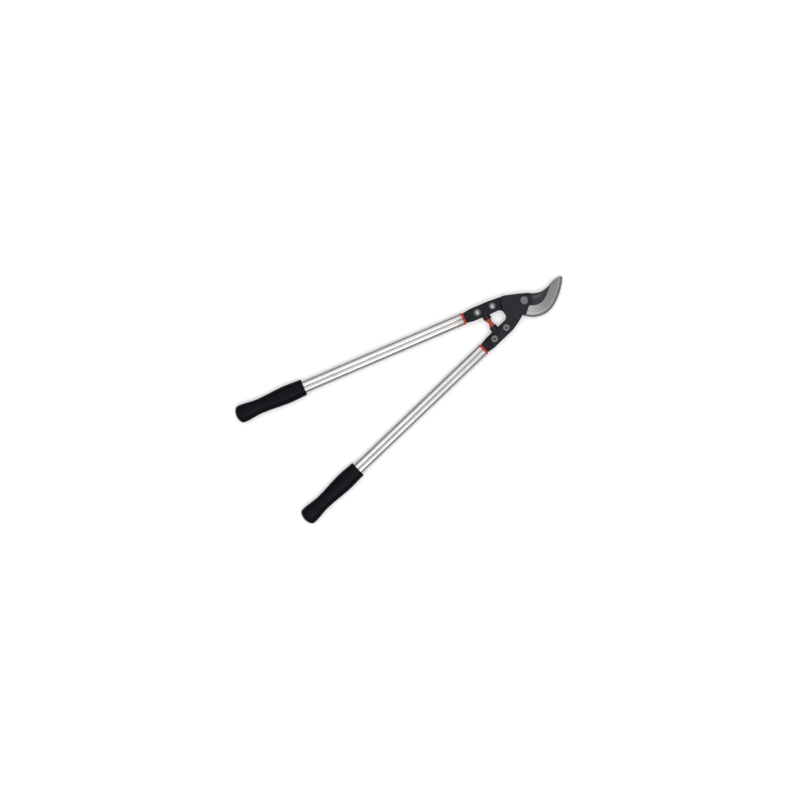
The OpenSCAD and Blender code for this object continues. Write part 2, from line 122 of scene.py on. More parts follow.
def rounded(*parts, closed=True, step=9.0):
    """One line of points through corners (x, y, radius), each corner rounded."""
    corners = np.vstack([np.array(p, float).reshape(-1, 3) for p in parts])
    at, n, line = corners[:, :2], len(corners), []
    for i, (q, r) in enumerate(zip(at, corners[:, 2])):
        if r == 0 or (not closed and i in (0, n - 1)):
            line.append(q)
            continue
        u, v = unit(at[i - 1] - q), unit(at[(i + 1) % n] - q)
        half = math.acos(max(-1, min(1, u @ v))) / 2
        c = q + unit(u + v) * r / math.sin(half)
        a0, a1 = bearing(q + u * r / math.tan(half) - c), bearing(q + v * r / math.tan(half) - c)
        sweep = (a1 - a0 + 180) % 360 - 180
        line.extend(arc(c, r, a0, a0 + sweep, step)[:, :2])
    return np.array(line)


def spaced(line, pitch, closed=True):
    """Drops doubled points and splits edges longer than the pitch."""
    ends = np.roll(line, -1, 0) if closed else line[1:]
    out = []
    for p, q in zip(line, ends):
        if np.linalg.norm(q - p) > 0.06:
            n = math.ceil(np.linalg.norm(q - p) / pitch)
            out.extend(p + (q - p) * k / n for k in range(n))
    return np.array(out if closed else out + [line[-1]])


def area(line):
    x, y = line.T
    return (x @ np.roll(y, -1) - y @ np.roll(x, -1)) / 2


def softened(line, reach, limit=28.0, keep=()):
    """A closed line whose sharp corners are eased over a length on both sides, apart from those near keep."""
    out, n = line.copy(), len(line)
    d = np.roll(line, -1, 0) - line
    bend = (np.degrees(np.arctan2(d[:, 1], d[:, 0]) - np.roll(np.arctan2(d[:, 1], d[:, 0]), 1)) + 180) % 360 - 180
    for i in np.flatnonzero(abs(bend) > limit):
        if any(np.linalg.norm(line[i] - k) < 2 for k in keep):
            continue
        span = [j for j in range(-8, 9) if np.linalg.norm(line[(i + j) % n] - line[i]) < reach]
        a, b, m = line[(i + span[0]) % n], line[(i + span[-1]) % n], line[i]
        for j in span:
            t = (j - span[0]) / max(1, span[-1] - span[0])
            out[(i + j) % n] = (1 - t) ** 2 * a + 2 * t * (1 - t) * m + t * t * b
    return out


def crossing(c0, r0, c1, r1, side):
    """The point where two circles meet, on the left (+1) or right (-1) of the way from c0 to c1."""
    d = np.linalg.norm(c1 - c0)
    a = (d * d + r0 * r0 - r1 * r1) / (2 * d)
    u = (c1 - c0) / d
    return c0 + a * u + side * math.sqrt(r0 * r0 - a * a) * np.array([-u[1], u[0]])


def on_right(u, s, r=0.0):
    """The corner u outboard of the right handle's axis and s along it from the pivot."""
    x, y = turn(SPLAY, "Z").to_2x2() @ Vector((HANDLE_OFFSET + u, -s))
    return np.array([x, y, r])


def handle_place(x, y):
    """(u, s) of points in the right handle's frame."""
    c, s = heading(SPLAY)
    return x * c + y * s - HANDLE_OFFSET, x * s - y * c


TIP_EDGE_C = EDGE_C - (TIP_EDGE_R - EDGE_R) * heading(EDGE_JOIN)
TIP_BACK_C = HOLLOW_C + (HOLLOW_R + TIP_BACK_R) * heading(HOLLOW_JOIN)
HOOK_OUTER_R = EDGE_R + LIP_W
HOOK_INNER_R = HOOK_OUTER_R - HOOK_W
HOOK_TIP_C = EDGE_C - (HOOK_TIP_R - HOOK_INNER_R) * heading(EDGE_JOIN)
BLADE_TIP = crossing(TIP_EDGE_C, TIP_EDGE_R, TIP_BACK_C, TIP_BACK_R, 1)
BOSS_CUT_C = np.array([on_right(-TANG_HALF_W, BUFFER_Y + 2)[0], -BUFFER_Y])


def tang_and_round(hub_stop):
    """Corners from the lug's outer side round the tang's end, past the buffer's notch and the window, to the hub's round."""
    window_x = HANDLE_OFFSET - TANG_HALF_W - WINDOW_R
    window_s = math.sqrt((HUB_R + WINDOW_R) ** 2 - window_x**2)
    window_c = on_right(window_x - HANDLE_OFFSET, window_s)[:2]
    window_dir = bearing(window_c)
    u, s = handle_place(*BOSS_CUT_C)
    notch = math.sqrt(BOSS_CUT_R**2 - (REBATE_IN + u) ** 2)
    a = math.degrees(math.atan2(notch, -REBATE_IN - u))
    return np.vstack([
        on_right(TANG_HALF_W, TANG_END - 10, 12),
        on_right(TANG_HALF_W - 1.6, TANG_END, 3),
        on_right(-REBATE_IN, TANG_END, 2),
        arc(BOSS_CUT_C, BOSS_CUT_R, SPLAY - a, SPLAY + a, 6),
        on_right(-REBATE_IN, REBATE_START, 2),
        on_right(-TANG_HALF_W, REBATE_START - 2, 2),
        arc(window_c, WINDOW_R, SPLAY, window_dir + 180, 5),
        arc((0, 0), HUB_R, window_dir - 1, hub_stop),
    ])


def circle(c, r, n=48):
    return arc(c, r, 0, 360 - 360 / n, 360 / n)[:, :2]


def bolt_holes(sign):
    return [circle(on_right(0, BOLT_START + i * BOLT_PITCH)[:2] * (sign, 1), BOLT_D / 2 + 0.15) for i in (0, 1)]


# ---- Plates: closed meshes between two height functions ------------------------------------


def inside(p, loops):
    hit = np.zeros(len(p), bool)
    for q in loops:
        for (x0, y0), (x1, y1) in zip(q, np.roll(q, -1, 0)):
            if y0 != y1:
                hit ^= ((y0 > p[:, 1]) != (y1 > p[:, 1])) & (p[:, 0] < (x1 - x0) * (p[:, 1] - y0) / (y1 - y0) + x0)
    return hit


def nearest(p, q):
    """Distance from each of p to the nearest of q."""
    out = np.full(len(p), 1e9)
    for k in range(0, len(q), 256):
        d = p[:, None] - q[None, k : k + 256]
        out = np.minimum(out, np.sqrt((d**2).sum(2)).min(1))
    return out


def contour(field, lo, hi, pitch):
    """Points and edges along field == 0 between two corners."""
    x, y = (np.arange(lo[k] - 0.37 * pitch, hi[k] + pitch, pitch) for k in (0, 1))
    f = field(*np.meshgrid(x, y, indexing="ij"))
    up = f > 0
    corners = [up[:-1, :-1], up[1:, :-1], up[:-1, 1:], up[1:, 1:]]
    mixed = np.any(corners, axis=0) & ~np.all(corners, axis=0)
    points, index, edges = [], {}, []
    for i, j in np.argwhere(mixed):
        hits = []
        for a, b, along_x in ((i, j, 1), (i + 1, j, 0), (i, j + 1, 1), (i, j, 0)):
            c, d = (a + 1, b) if along_x else (a, b + 1)
            if up[a, b] != up[c, d]:
                if (a, b, along_x) not in index:
                    t = f[a, b] / (f[a, b] - f[c, d])
                    index[a, b, along_x] = len(points)
                    points.append((x[a] + t * (x[c] - x[a]), y[b] + t * (y[d] - y[b])))
                hits.append(index[a, b, along_x])
        edges.extend(zip(hits[::2], hits[1::2]))
    return np.array(points).reshape(-1, 2), edges


def cap(loops, creases, pitch):
    """Triangles inside closed loops, with edges along the creases. Gives points, triangles and each loop point's index."""
    ring = np.vstack(loops)
    edges, start = [], 0
    for q in loops:
        edges += [(start + i, start + (i + 1) % len(q)) for i in range(len(q))]
        start += len(q)
    points, lo, hi = ring, ring.min(0), ring.max(0)
    for field in creases:
        p, pairs = contour(field, lo, hi, 0.6 * pitch)
        if len(p):
            ok = inside(p, loops) & (nearest(p, ring) > 0.25)
            at = np.cumsum(ok) - 1 + len(points)
            edges += [(at[a], at[b]) for a, b in pairs if ok[a] and ok[b]]
            points = np.vstack([points, p[ok]])
    rows = np.arange(lo[1], hi[1], 0.87 * pitch)
    grid = np.vstack([
        np.column_stack([np.arange(lo[0] + (k % 2) * pitch / 2, hi[0], pitch), np.full(
            len(np.arange(lo[0] + (k % 2) * pitch / 2, hi[0], pitch)), y)])
        for k, y in enumerate(rows)
    ])
    grid = grid[inside(grid, loops)]
    grid = grid[nearest(grid, points) > 0.6 * pitch]
    points = np.vstack([points, grid])
    made = delaunay_2d_cdt([Vector(p) for p in points], [(int(a), int(b)) for a, b in edges], [], 0, 1e-5, True)
    flat, tris = np.array([tuple(p) for p in made[0]]), np.array(made[2])
    tris = tris[inside(flat[tris].mean(1), loops)]
    out = {old: new for new, olds in enumerate(made[3]) for old in olds}
    return flat, tris, [out[i] for i in range(len(ring))]


def left_normals(q):
    d = np.roll(q, -1, 0) - q
    d /= np.linalg.norm(d, axis=1)[:, None]
    n = np.column_stack([-d[:, 1], d[:, 0]])
    m = n + np.roll(n, 1, 0)
    return 2 * m / np.maximum((m**2).sum(1), 1.0)[:, None]


TOP, BOTTOM, SIDE = 0, 1, 2


def plate(loops, top, bottom, ease_top, ease_bottom, creases=(), low_creases=(), pitch=1.6, steps=4):
    """A closed mesh under top(x, y) and over bottom(x, y), with its rims rounded. Gives vertices, faces and each face's side."""
    loops = [spaced(q if (area(q) > 0) == (i == 0) else q[::-1], 0.8 * pitch) for i, q in enumerate(loops)]
    verts, faces, tags, sides = [], [], [], []
    for low, (height, ease, lines) in enumerate(((top, ease_top, creases), (bottom, ease_bottom, low_creases))):
        rims, slope = [], 1 if low else -1
        for q in loops:
            r = ease(*q.T) if callable(ease) else np.full(len(q), ease)
            r = np.minimum(r, 0.42 * (top(*q.T) - bottom(*q.T)))
            n = left_normals(q)
            rows = []
            for k in range(steps + 1):
                a = math.pi / 2 * k / steps
                p = q + n * (r * (1 - math.sin(a)))[:, None]
                rows.append(np.column_stack([p, height(*p.T) + slope * r * (1 - math.cos(a))]))
            rims.append(rows)
        flat, tris, at = cap([rows[0][:, :2] for rows in rims], lines, pitch)
        base = len(verts)
        verts.extend(np.column_stack([flat, height(*flat.T)]))
        faces.extend((tris[:, ::-1] if low else tris) + base)
        tags.extend([BOTTOM if low else TOP] * len(tris))
        start, outer = 0, []
        for rows in rims:
            n = len(rows[0])
            last = [base + at[start + i] for i in range(n)]
            start += n
            for row in rows[1:]:
                new = list(range(len(verts), len(verts) + n))
                verts.extend(row)
                for i in range(n):
                    j = (i + 1) % n
                    quad = (last[i], last[j], new[j], new[i])
                    faces.append(quad if low else quad[::-1])
                    tags.append(SIDE)
                last = new
            outer.append(last)
        sides.append(outer)
    for over, under in zip(*sides):
        for i in range(len(over)):
            j = (i + 1) % len(over)
            faces.append((under[i], under[j], over[j], over[i]))
            tags.append(SIDE)
    return np.array(verts), [tuple(int(i) for i in f) for f in faces], np.array(tags)


# ---- Turned and lofted pieces --------------------------------------------------------------


def loft(rings, closed=False):
    """A closed mesh through rings of points. Without closed, both end rings are capped."""
    n, verts = len(rings[0]), np.vstack(rings)
    assert all(len(ring) == n for ring in rings)
    faces = []
    for k in range(len(rings) if closed else len(rings) - 1):
        a, b = k * n, (k + 1) % len(rings) * n
        faces += [(a + i, a + (i + 1) % n, b + (i + 1) % n, b + i) for i in range(n)]
    if not closed:
        for k, ring in ((0, rings[0]), (len(rings) - 1, rings[-1])):
            verts = np.vstack([verts, ring.mean(0)])
            c = len(verts) - 1
            faces += [(k * n + i, k * n + (i + 1) % n, c) for i in range(n)]
    return verts, faces, None


def hexagon(flats, n):
    """Polar radius of a hexagon at n directions, given half its width across flats."""
    a = (np.arange(n) * 360 / n) % 60 - 30
    return flats / np.cos(np.radians(a))


def lathe(profile, n=96, closed=False):
    """Turns (r, z) points about z. A point whose r or z is an array has a value for each of the n directions."""
    a = np.radians(np.arange(n) * 360 / n)
    rings = [np.column_stack([r * np.cos(a), r * np.sin(a), z + 0 * a]) for r, z in profile]
    return loft(rings, closed)


def turned(*corners, step=15.0):
    """A profile's (r, z) points, from corners (r, z, rounding)."""
    return [tuple(p) for p in rounded(corners, closed=False, step=step)]


def barrels(r, notch=0.7, lobe_n=44, notch_n=5, scale=1.0):
    """The tube's section: two round barrels side by side, with a small fillet where they meet."""
    h = math.sqrt((r + notch) ** 2 - BARREL_X**2)
    a = bearing((-BARREL_X, h))
    parts = []
    for side in (0, 180):
        c = heading(side) * BARREL_X
        parts.append(arc(c, r, side - a, side + a, n=lobe_n)[:, :2])
        f = heading(side + 90) * h
        b = bearing((BARREL_X, -h))
        parts.append(arc(f, notch, side + b, side - 180 - b, n=notch_n)[1:-1, :2])
    return np.vstack(parts) * scale


def section(points, s):
    return np.column_stack([points, np.full(len(points), float(s))])


def joined(*shells):
    verts, faces, start = [], [], 0
    for v, f, _ in shells:
        verts.append(v)
        faces += [tuple(i + start for i in q) for q in f]
        start += len(v)
    return np.vstack(verts), faces, None


def placed(shell, matrix):
    m = np.array(matrix)
    return shell[0] @ m[:3, :3].T + m[:3, 3], shell[1], shell[2]


# ---- From shells to pieces -----------------------------------------------------------------


def mesh_piece(node, shell, materials, matrix, body, finish=None, sharp=32.0):
    """Makes the piece that stands for a CAD node. finish(centres, tags) gives each face's material."""
    verts, faces, tags = placed(shell, matrix)
    me = bpy.data.meshes.new(node + "_fine")
    me.from_pydata((verts * MM).tolist(), [], faces)
    for m in materials:
        me.materials.append(m)
    if finish is not None:
        centres = np.array([shell[0][list(f)].mean(0) for f in faces])
        me.polygons.foreach_set("material_index", np.array(finish(centres, tags), np.int32))
    bm = bmesh.new()
    bm.from_mesh(me)
    bmesh.ops.recalc_face_normals(bm, faces=bm.faces)
    bm.to_mesh(me)
    bm.free()
    me.polygons.foreach_set("use_smooth", [True] * len(me.polygons))
    me.set_sharp_from_angle(angle=math.radians(sharp))
    ob = bpy.data.objects.new(node + "_fine", me)
    bpy.context.scene.collection.objects.link(ob)
    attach(ob, body)
    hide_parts(node)
    return ob


def cut_away(ob, shells):
    """Takes closed shells, in the piece's place, away from its mesh."""
    for verts, faces, _ in shells:
        me = bpy.data.meshes.new("cutter")
        me.from_pydata((verts * MM).tolist(), [], faces)
        bm = bmesh.new()
        bm.from_mesh(me)
        bmesh.ops.recalc_face_normals(bm, faces=bm.faces)
        bm.to_mesh(me)
        bm.free()
        cutter = bpy.data.objects.new("cutter", me)
        bpy.context.scene.collection.objects.link(cutter)
        mod = ob.modifiers.new("cut", "BOOLEAN")
        mod.object, mod.operation, mod.solver = cutter, "DIFFERENCE", "EXACT"
        bpy.context.view_layer.update()
        made = bpy.data.meshes.new_from_object(ob.evaluated_get(bpy.context.evaluated_depsgraph_get()))
        ob.modifiers.clear()
        old, ob.data = ob.data, made
        bpy.data.meshes.remove(old)
        bpy.data.objects.remove(cutter)
    ob.data.polygons.foreach_set("use_smooth", [True] * len(ob.data.polygons))
    ob.data.set_sharp_from_angle(angle=math.radians(32))


# ---- Finishes ------------------------------------------------------------------------------


class Finish:
    """A material under construction: its nodes read object coordinates, in metres."""

    def __init__(self, name, **sockets):
        self.material = bpy.data.materials.new(name)
        self.material.use_nodes = True
        self.tree = self.material.node_tree
        self.shader = next(n for n in self.tree.nodes if n.type == "BSDF_PRINCIPLED")
        self.set(self.shader, sockets)
        self.where = self.node("TexCoord").outputs["Object"]

    def set(self, node, inputs):
        for key, value in inputs.items():
            if isinstance(value, bpy.types.NodeSocket):
                self.tree.links.new(value, node.inputs[key])
            else:
                node.inputs[key].default_value = value

    def node(self, kind, inputs=None, **settings):
        n = self.tree.nodes.new("ShaderNode" + kind)
        for key, value in settings.items():
            setattr(n, key, value)
        self.set(n, inputs or {})
        return n

    def math(self, operation, a, b=0.0, clamp=False):
        return self.node("Math", {0: a, 1: b}, operation=operation, use_clamp=clamp).outputs[0]

    def mapped(self, scale=(1, 1, 1), turned_by=0.0):
        spun = self.node("Mapping", {"Vector": self.where, "Rotation": (0, 0, math.radians(turned_by))}).outputs[0]
        return self.node("Mapping", {"Vector": spun, "Scale": scale}).outputs[0]

    def noise(self, scale, detail=3.0, rough=0.55, at=None):
        return self.node(
            "TexNoise", {"Vector": at or self.where, "Scale": scale, "Detail": detail, "Roughness": rough}
        ).outputs["Fac"]

    def spread(self, value, low, high, start=0.3, stop=0.7):
        """Maps a noise value from start..stop to low..high."""
        return self.node(
            "MapRange", {"Value": value, "From Min": start, "From Max": stop, "To Min": low, "To Max": high}
        ).outputs[0]

    def blend(self, factor, a, b):
        n = self.node("Mix", {"Factor": factor}, data_type="RGBA")
        self.set(n, {6: a, 7: b})
        return n.outputs[2]

    def bump(self, height, strength, distance, normal=None):
        inputs = {"Height": height, "Strength": strength, "Distance": distance}
        if normal is not None:
            inputs["Normal"] = normal
        return self.node("Bump", inputs).outputs[0]

    def distance(self, centre):
        """The distance in metres, seen from above, from a centre given in millimetres."""
        flat = self.node("VectorMath", {0: self.where, 1: (1, 1, 0)}, operation="MULTIPLY").outputs[0]
        place = (centre[0] * MM, centre[1] * MM, 0)
        return self.node("VectorMath", {0: flat, 1: place}, operation="DISTANCE").outputs["Value"]

    def use(self, **sockets):
        self.set(self.shader, {k.replace("_", " "): v for k, v in sockets.items()})
        return self.material


def rgb(r, g, b):
    return (r, g, b, 1.0)


def forged_finish(name, tone=1.0, gloss=0.14, painted_groove_highlight=False):
    """Blued, lightly shot-blasted forging under a satin lacquer; it can also carry a painted highlight, a paler band
    along the sap groove where the concave groove would catch the light.
    """
    f = Finish(name)
    grain = f.noise(900, 4, 0.6)
    cloud = f.noise(45, 3)
    pits = f.noise(2600, 2)
    colour = f.blend(f.spread(cloud, 0, 1), *(rgb(*(c * tone * k for c in (0.010, 0.012, 0.0165))) for k in (0.8, 1.25)))
    # Painted highlight: a paler band along the groove, fading out between 34 and 54 mm up the blade, standing in for
    # the light the groove's hollow reflects.
    if painted_groove_highlight:
        off = f.math("ABSOLUTE", f.math("SUBTRACT", f.distance(GROOVE_C), GROOVE_R * MM))
        y = f.node("SeparateXYZ", {0: f.where}).outputs[1]
        groove_highlight_mask = f.math("MULTIPLY", f.spread(off, 1, 0, 0.4 * MM, 5 * MM), f.spread(y, 1, 0, 34 * MM, 54 * MM))
        colour = f.blend(groove_highlight_mask, colour, rgb(0.058, 0.059, 0.068))
    rough = f.spread(grain, 0.36, 0.52)
    height = f.math("ADD", f.math("MULTIPLY", grain, 0.7), f.math("MULTIPLY", pits, 0.3))
    f.shader.inputs["Specular IOR Level"].default_value = gloss
    return f.use(Base_Color=colour, Roughness=rough, Normal=f.bump(height, 0.35, 0.00025))


def socket_finish():
    """Black powder coat on the cast sockets: a fine orange peel."""
    f = Finish("socket_black")
    peel = f.noise(1100, 2, 0.5)
    cloud = f.noise(38, 3)
    colour = f.blend(f.spread(cloud, 0, 1), rgb(0.0065, 0.0078, 0.0105), rgb(0.0100, 0.0118, 0.0155))
    f.shader.inputs["Specular IOR Level"].default_value = 0.11
    return f.use(Base_Color=colour, Roughness=f.spread(peel, 0.42, 0.52), Normal=f.bump(peel, 0.3, 0.0002))


def ground_finish(name, tone, centre=None):
    """Ground steel: scratches across the bevel, or along the tool where no centre is given."""
    f = Finish(name, Metallic=1.0)
    if centre is None:
        at = f.mapped((90, 1600, 90), -SPLAY)
    else:
        x, y = (f.node("SeparateXYZ", {0: f.where}).outputs[k] for k in (0, 1))
        dx, dy = f.math("SUBTRACT", x, centre[0] * MM), f.math("SUBTRACT", y, centre[1] * MM)
        angle = f.math("ARCTAN2", dy, dx)
        radius = f.math("MULTIPLY", f.distance(centre), 60.0)
        at = f.node("CombineXYZ", {0: f.math("MULTIPLY", angle, 95.0), 1: radius}).outputs[0]
    lines = f.noise(1.0, 5, 0.7, at=at)
    cloud = f.noise(70, 3)
    light, dark = rgb(*(c * tone for c in (0.28, 0.276, 0.268))), rgb(*(c * tone for c in (0.15, 0.148, 0.143)))
    fine = f.spread(lines, 0, 1, 0.35, 0.65)
    colour = f.blend(f.math("ADD", f.math("MULTIPLY", fine, 0.6), f.math("MULTIPLY", cloud, 0.4)), dark, light)
    return f.use(Base_Color=colour, Roughness=f.spread(lines, 0.34, 0.48, 0.3, 0.7), Normal=f.bump(lines, 0.22, 0.0001))


def plated_finish(name="zinc_plate", tone=1.0):
    """Bright zinc on turned steel."""
    f = Finish(name, Metallic=1.0)
    cloud, fine = f.noise(160, 3), f.noise(1500, 3)
    colour = f.blend(f.spread(cloud, 0, 1), rgb(0.235 * tone, 0.245 * tone, 0.255 * tone), rgb(0.31 * tone, 0.32 * tone, 0.33 * tone))
    return f.use(Base_Color=colour, Roughness=f.spread(fine, 0.27, 0.40), Normal=f.bump(fine, 0.12, 0.0001))


def bronze_finish():
    f = Finish("bush_bronze", Metallic=1.0)
    cloud, fine = f.noise(220, 3), f.noise(1800, 2)
    colour = f.blend(f.spread(cloud, 0, 1), rgb(0.50, 0.30, 0.12), rgb(0.66, 0.43, 0.20))
    return f.use(Base_Color=colour, Roughness=f.spread(fine, 0.28, 0.42), Normal=f.bump(fine, 0.15, 0.0001))


def tube_finish(side):
    """Satin anodised aluminium with faint drawing lines along the tube."""
    f = Finish("anodised_" + side, Metallic=1.0)
    spin = -SPLAY if side == "right" else SPLAY
    drawn = f.noise(1.0, 4, 0.65, at=f.mapped((1500, 14, 1500), spin))
    cloud = f.noise(26, 3)
    colour = f.blend(f.spread(cloud, 0, 1), rgb(0.410, 0.403, 0.394), rgb(0.475, 0.468, 0.458))
    return f.use(Base_Color=colour, Roughness=f.spread(drawn, 0.24, 0.34), Normal=f.bump(drawn, 0.12, 0.00012))


def grip_finish():
    """Moulded black grip: a fine spark-eroded grain, with the mould's parting line at mid height."""
    f = Finish("grip_black")
    grain, cloud = f.noise(1700, 3, 0.6), f.noise(30, 3)
    z = f.node("SeparateXYZ", {0: f.where}).outputs[2]
    off = f.math("ABSOLUTE", f.math("SUBTRACT", z, SHEAR_Z * MM))
    seam = f.node("MapRange", {"Value": off, "From Min": 0.00012, "From Max": 0.00034, "To Min": 1.0, "To Max": 0.0},
                  interpolation_type="SMOOTHSTEP").outputs[0]
    height = f.math("ADD", f.math("MULTIPLY", grain, 0.5), f.math("MULTIPLY", seam, 1.2))
    colour = f.blend(f.spread(cloud, 0, 1), rgb(0.0008, 0.0011, 0.0034), rgb(0.0014, 0.0018, 0.0048))
    f.shader.inputs["Specular IOR Level"].default_value = 0.075
    return f.use(Base_Color=colour, Roughness=f.spread(grain, 0.34, 0.48), Normal=f.bump(height, 0.35, 0.0002))


def plastic_finish(name, low, high, rough, bump=0.15, soft=0.0, gloss=0.5):
    f = Finish(name)
    grain, cloud = f.noise(1400, 3, 0.6), f.noise(90, 3)
    colour = f.blend(f.spread(cloud, 0, 1), rgb(*low), rgb(*high))
    f.shader.inputs["Specular IOR Level"].default_value = gloss
    f.shader.inputs["Subsurface Weight"].default_value = soft
    f.shader.inputs["Subsurface Scale"].default_value = 0.0015
    return f.use(Base_Color=colour, Roughness=f.spread(grain, rough - 0.06, rough + 0.08), Normal=f.bump(grain, bump, 0.00012))


forged = forged_finish("forged_black")
# A lighter copy of the forged black (tone 1.2) for the blade's body: painted sheen where the blade's face would catch
# more light, with the painted groove highlight on top.
forged_front_painted_highlight = forged_finish("forged_front_painted_highlight", 1.2, 0.24, painted_groove_highlight=True)
coated = socket_finish()
bevel_ground = ground_finish("ground_bevel", 0.92, EDGE_C)
honed = ground_finish("ground_honed", 1.2, EDGE_C)
flat_ground = ground_finish("ground_face", 1.15)
hook_ground = ground_finish("ground_hook", 0.52, EDGE_C)
# A darker copy of the zinc for the bolts' hex sockets: painted shade in the recesses.
recess_painted_shade = plated_finish("recess_zinc_painted_shade", 0.21)
screw_steel = plated_finish("bolt_steel", 0.46)
zinc = plated_finish()
bronze = bronze_finish()
tubes = {side: tube_finish(side) for side in SIDES}
grip_black = grip_finish()
cup_black = plastic_finish("cup_black", (0.004, 0.004, 0.005), (0.007, 0.007, 0.009), 0.42, gloss=0.22)
collar_orange = plastic_finish("collar_orange", (0.36, 0.032, 0.012), (0.46, 0.045, 0.016), 0.36, soft=0.08)
buffer_orange = plastic_finish("buffer_orange", (0.36, 0.036, 0.014), (0.46, 0.052, 0.020), 0.55, bump=0.3, soft=0.1)

# ---- Blade and counter blade ---------------------------------------------------------------


def smooth(t):
    t = np.clip(t, 0, 1)
    return t * t * (3 - 2 * t)


def polar(x, y, c):
    return np.hypot(x - c[0], y - c[1]), np.degrees(np.arctan2(y - c[1], x - c[0]))


def inward(x, y):
    """Distance from the cutting edge's arcs into the blade."""
    u = heading(EDGE_JOIN)
    upper = u[0] * (y - EDGE_C[1]) - u[1] * (x - EDGE_C[0]) > 0
    return np.where(upper, TIP_EDGE_R - polar(x, y, TIP_EDGE_C)[0], EDGE_R - polar(x, y, EDGE_C)[0])


def outside_grinding(x, y, corner=5.0):
    """Distance out of the ground bevel, whose inner corner at the heel is rounded."""
    h = heading(HEEL)
    u = inward(x, y) - BEVEL_W + corner
    v = h[1] * (x - EDGE_C[0]) - h[0] * (y - EDGE_C[1]) + corner
    return np.minimum(np.maximum(u, v), 0) + np.hypot(np.maximum(u, 0), np.maximum(v, 0)) - corner


def ground_level(x, y):
    cone = LAYER + EDGE_T + np.minimum(inward(x, y), BEVEL_W) * (BLADE_T - EDGE_T) / BEVEL_W
    honed = LAYER + 0.22 + 0.5 * np.maximum(inward(x, y), 0)
    return np.minimum(cone, honed) + 2.6 * np.maximum(outside_grinding(x, y), 0)


def into_hub(x, y):
    """Distance into the thick hub from the step round the pivot's boss."""
    def under(p, q):
        d = unit(np.subtract(q, p))
        return d[1] * (x - p[0]) - d[0] * (y - p[1])

    right = under((17.87, 4.79), (36, -4))
    left = np.where(x < 0, under((-8, 20.2), (-3.2, 18.2)), -99)
    return np.maximum(BOSS_R - np.hypot(x, y), np.maximum(right, left))


def forged_level(x, y):
    rho, a = polar(x, y, GROOVE_C)
    sunk = GROOVE_DEPTH - GROOVE_ROUND + np.sqrt(np.maximum(GROOVE_ROUND**2 - (rho - GROOVE_R) ** 2, 0))
    groove = np.maximum(sunk, 0) * smooth((a + 31) / 6) * smooth((14 - a) / 6)
    return LAYER + BLADE_T - groove + (HUB_T - BLADE_T) * smooth(into_hub(x, y) / 1.2 + 0.5)


def level(z):
    return lambda x, y: np.full(np.shape(x), float(z))


def cutting_blade_shell():
    a, b = np.array([-19.4, -0.4]), np.array([-8, 20.2])
    d = unit(b - a)
    k = (HOLLOW_C - a) @ d
    meet = a + d * (k - math.sqrt(HOLLOW_R**2 - np.linalg.norm(a + d * k - HOLLOW_C) ** 2))
    line = rounded(
        arc(TIP_EDGE_C, TIP_EDGE_R, bearing(BLADE_TIP - TIP_EDGE_C), EDGE_JOIN, 0.5),
        arc(EDGE_C, EDGE_R, EDGE_JOIN, HEEL, 1.2)[1:],
        [[27.9, -12.9, 0.8], [24.9, -19.8, 2.5], [33.8, -37.5, 50], on_right(TANG_HALF_W + 0.3, 62, 40)],
        tang_and_round(-133),
        [[-36.6, -37.8, 1.5], [-33.2, -28.7, 30], [-19.4, -0.4, 60]],
        arc(HOLLOW_C, HOLLOW_R, bearing(meet - HOLLOW_C), HOLLOW_JOIN),
        arc(TIP_BACK_C, TIP_BACK_R, 180 + HOLLOW_JOIN, bearing(BLADE_TIP - TIP_BACK_C) % 360)[1:-1],
    )
    line = softened(spaced(line, 1.2), 1.5, keep=[BLADE_TIP])
    neck = rounded(arc((0, 0), 6, -56, 56, 8), arc((0, 0), 6, 124, 236, 8))
    return plate(
        [line, neck, *bolt_holes(1)],
        lambda x, y: np.minimum(forged_level(x, y), ground_level(x, y)), level(LAYER), 1.1, 0.25,
        creases=[
            lambda x, y: forged_level(x, y) - ground_level(x, y),
            outside_grinding,
            lambda x, y: into_hub(x, y) - 0.6,
            lambda x, y: into_hub(x, y) + 0.6,
            lambda x, y: inward(x, y) - 1.05,
            lambda x, y: inward(x, y) - HONED_W,
        ],
        low_creases=[outside_rubbing],
    )


RUBBED_R, HONED_W = 30.0, 5.2


def outside_rubbing(x, y):
    """Distance out of the part of the shear face that rubs bright: the blade and the ring round the pivot."""
    return np.minimum(into_hub(x, y), np.hypot(x, y) - RUBBED_R)


def blade_finish(centres, tags):
    x, y, z = centres.T
    ground = (forged_level(x, y) - ground_level(x, y) > -0.02) & (tags == TOP)
    edge = (tags == SIDE) & (inward(x, y) < 1.2) & (outside_grinding(x, y) < 0.3)
    rubbed = (tags == BOTTOM) & (outside_rubbing(x, y) < 0)
    # Index 3, the blade's body beyond the hub step, takes the lighter forged copy with its painted sheen.
    front = np.where(into_hub(x, y) < -0.6, 3, 0)
    return np.where(edge | (ground & (inward(x, y) < HONED_W)), 4, np.where(ground, 1, np.where(rubbed, 2, front)))


def relief_depth(x, y):
    """How deep the relief behind the counter blade's inner edge is ground; negative where there is none."""
    u = heading(EDGE_JOIN)
    upper = u[0] * (y - EDGE_C[1]) - u[1] * (x - EDGE_C[0]) > 0
    rho, a = polar(x, y, EDGE_C)
    over = np.where(upper, polar(x, y, HOOK_TIP_C)[0] - HOOK_TIP_R, rho - HOOK_INNER_R)
    over = np.where((a > THROAT_DIR) & (x > 0), over + 6 * smooth((THROAT_DIR + 9 - a) / 9), 99)
    return HOOK_RELIEF - over


def counter_back(x, y):
    return -LAYER - HUB_T + np.maximum(relief_depth(x, y), 0)


